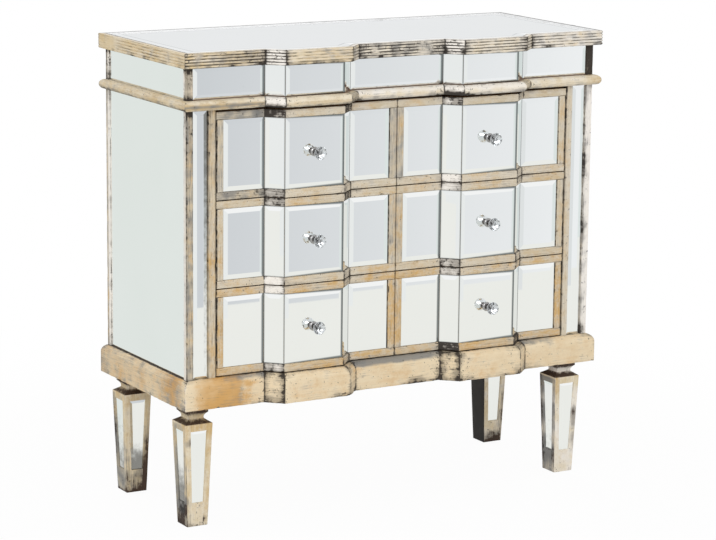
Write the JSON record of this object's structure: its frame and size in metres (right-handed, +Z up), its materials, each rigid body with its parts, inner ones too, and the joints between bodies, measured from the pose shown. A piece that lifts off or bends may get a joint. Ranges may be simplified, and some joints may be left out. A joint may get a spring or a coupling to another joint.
{
  "type": "chest of drawers",
  "caption": "Mirrored chest of drawers with a breakfront of canted blocks: gilt frame, bevelled mirror fields, crystal knobs, tapered legs, and drawers that slide on side runners.",
  "frame": {"origin": "on the floor under the middle of the overall box, knobs included", "axes": "+X to the right of someone who faces the drawers, +Y to the back, +Z up; the drawers open towards -Y"},
  "size_m": [0.914, 0.414, 0.9],
  "materials": {
    "gilt": "antiqued champagne gold leaf on wood, rubbed through on the edges",
    "mirror": "silvered glass with ground bevels",
    "board": "plain board, stained brown where it shows at the back and below",
    "hardwood": "planed hardwood, waxed on the runners",
    "drawer_wood": "pale planed timber, sealed",
    "crystal": "cut and polished clear crystal",
    "knob_metal": "darkened nickel",
    "steel": "zinc plated",
    "glide": "dark nylon"
  },
  "bodies": {
    "carcass": {"top_board": "board", "top_mirror": "mirror", "top_moulding_front": "gilt", "top_moulding_returns": "gilt", "frieze_rails": "board", "frieze_mirrors": "mirror", "frieze_corner_strips": "gilt", "waist_board": "board", "waist_moulding": "gilt", "side_panels": "board", "left_side_mirror": "mirror", "right_side_mirror": "mirror", "left_front_stile": "gilt", "right_front_stile": "gilt", "pilaster_mirrors": "mirror", "back_posts": "gilt", "back_panel": "board", "centre_divider": "board", "bay_liners": "board", "drawer_runners": "hardwood", "base_board": "board", "plinth_moulding": "gilt", "corner_blocks": "hardwood", "front_left_leg": "gilt", "front_right_leg": "gilt", "back_left_leg": "gilt", "back_right_leg": "gilt", "leg_mirrors": "mirror", "leg_bolts": "steel", "floor_glides": "glide"},
    "left_top_drawer": {"left_top_drawer_box": "drawer_wood", "left_top_drawer_frame": "gilt", "left_top_drawer_mirrors": "mirror", "left_top_drawer_knob": "crystal", "left_top_drawer_knob_base": "knob_metal"},
    "left_middle_drawer": {"left_middle_drawer_box": "drawer_wood", "left_middle_drawer_frame": "gilt", "left_middle_drawer_mirrors": "mirror", "left_middle_drawer_knob": "crystal", "left_middle_drawer_knob_base": "knob_metal"},
    "left_bottom_drawer": {"left_bottom_drawer_box": "drawer_wood", "left_bottom_drawer_frame": "gilt", "left_bottom_drawer_mirrors": "mirror", "left_bottom_drawer_knob": "crystal", "left_bottom_drawer_knob_base": "knob_metal"},
    "right_top_drawer": {"right_top_drawer_box": "drawer_wood", "right_top_drawer_frame": "gilt", "right_top_drawer_mirrors": "mirror", "right_top_drawer_knob": "crystal", "right_top_drawer_knob_base": "knob_metal"},
    "right_middle_drawer": {"right_middle_drawer_box": "drawer_wood", "right_middle_drawer_frame": "gilt", "right_middle_drawer_mirrors": "mirror", "right_middle_drawer_knob": "crystal", "right_middle_drawer_knob_base": "knob_metal"},
    "right_bottom_drawer": {"right_bottom_drawer_box": "drawer_wood", "right_bottom_drawer_frame": "gilt", "right_bottom_drawer_mirrors": "mirror", "right_bottom_drawer_knob": "crystal", "right_bottom_drawer_knob_base": "knob_metal"}
  },
  "joints": [
    {"name": "left_top_drawer_slide", "type": "slide", "parent": "carcass", "child": "left_top_drawer", "axis": [0, -1, 0], "range_m": [0, 0.25]},
    {"name": "left_middle_drawer_slide", "type": "slide", "parent": "carcass", "child": "left_middle_drawer", "axis": [0, -1, 0], "range_m": [0, 0.25]},
    {"name": "left_bottom_drawer_slide", "type": "slide", "parent": "carcass", "child": "left_bottom_drawer", "axis": [0, -1, 0], "range_m": [0, 0.25]},
    {"name": "right_top_drawer_slide", "type": "slide", "parent": "carcass", "child": "right_top_drawer", "axis": [0, -1, 0], "range_m": [0, 0.25]},
    {"name": "right_middle_drawer_slide", "type": "slide", "parent": "carcass", "child": "right_middle_drawer", "axis": [0, -1, 0], "range_m": [0, 0.25]},
    {"name": "right_bottom_drawer_slide", "type": "slide", "parent": "carcass", "child": "right_bottom_drawer", "axis": [0, -1, 0], "range_m": [0, 0.25]}
  ]
}
